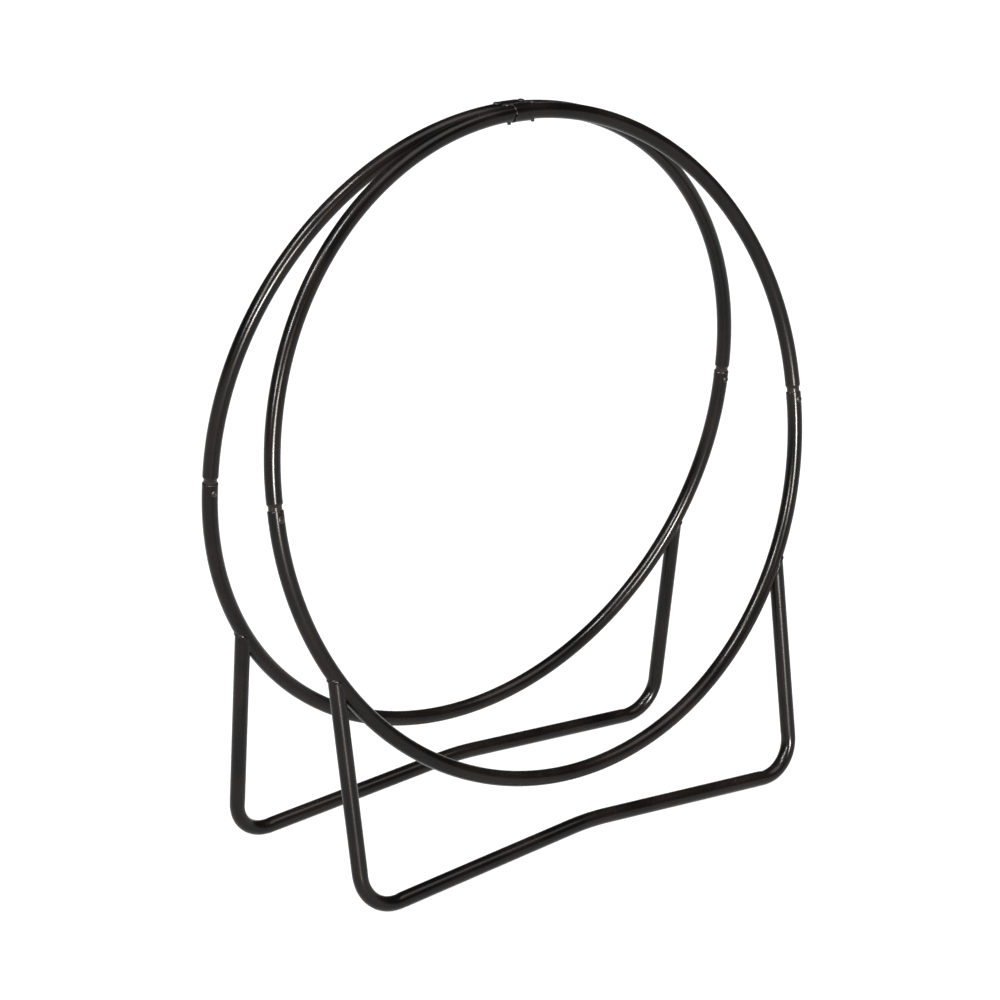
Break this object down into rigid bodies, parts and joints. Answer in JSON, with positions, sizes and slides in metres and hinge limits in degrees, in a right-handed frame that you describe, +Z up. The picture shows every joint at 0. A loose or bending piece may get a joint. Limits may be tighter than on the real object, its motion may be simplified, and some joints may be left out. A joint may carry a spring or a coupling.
{
  "type": "firewood log rack",
  "caption": "Free-standing firewood rack of black steel tube: round hoops lean together at the top over U-shaped stands, and logs lie across their lower halves.",
  "frame": {"origin": "on the floor under the middle of the rack", "axes": "+X across the hoops to the right seen from the front, +Y from the front hoop to the back hoop, +Z up"},
  "size_m": [1.016, 0.3722, 1.1302],
  "materials": {
    "black_enamel": "semi-gloss black powder coat",
    "coupler_enamel": "semi-gloss black powder coat",
    "painted_weld": "semi-gloss black powder coat over a weld bead",
    "black_screw": "black zinc plating, satin",
    "plated_nut": "zinc-plated steel"
  },
  "bodies": {
    "root": {"front_lower_half": "black_enamel", "back_lower_half": "black_enamel", "front_left_upper_quarter": "black_enamel", "front_right_upper_quarter": "black_enamel", "back_left_upper_quarter": "black_enamel", "back_right_upper_quarter": "black_enamel", "front_stand": "black_enamel", "back_stand": "black_enamel", "front_top_collar": "coupler_enamel", "back_top_collar": "coupler_enamel", "front_top_spigot": "coupler_enamel", "back_top_spigot": "coupler_enamel", "collar_welds": "painted_weld", "front_left_leg_weld": "painted_weld", "front_right_leg_weld": "painted_weld", "back_left_leg_weld": "painted_weld", "back_right_leg_weld": "painted_weld", "side_joint_screws": "black_screw", "top_joint_screws": "black_screw", "side_joint_nuts": "plated_nut", "top_joint_nuts": "plated_nut"}
  },
  "joints": []
}
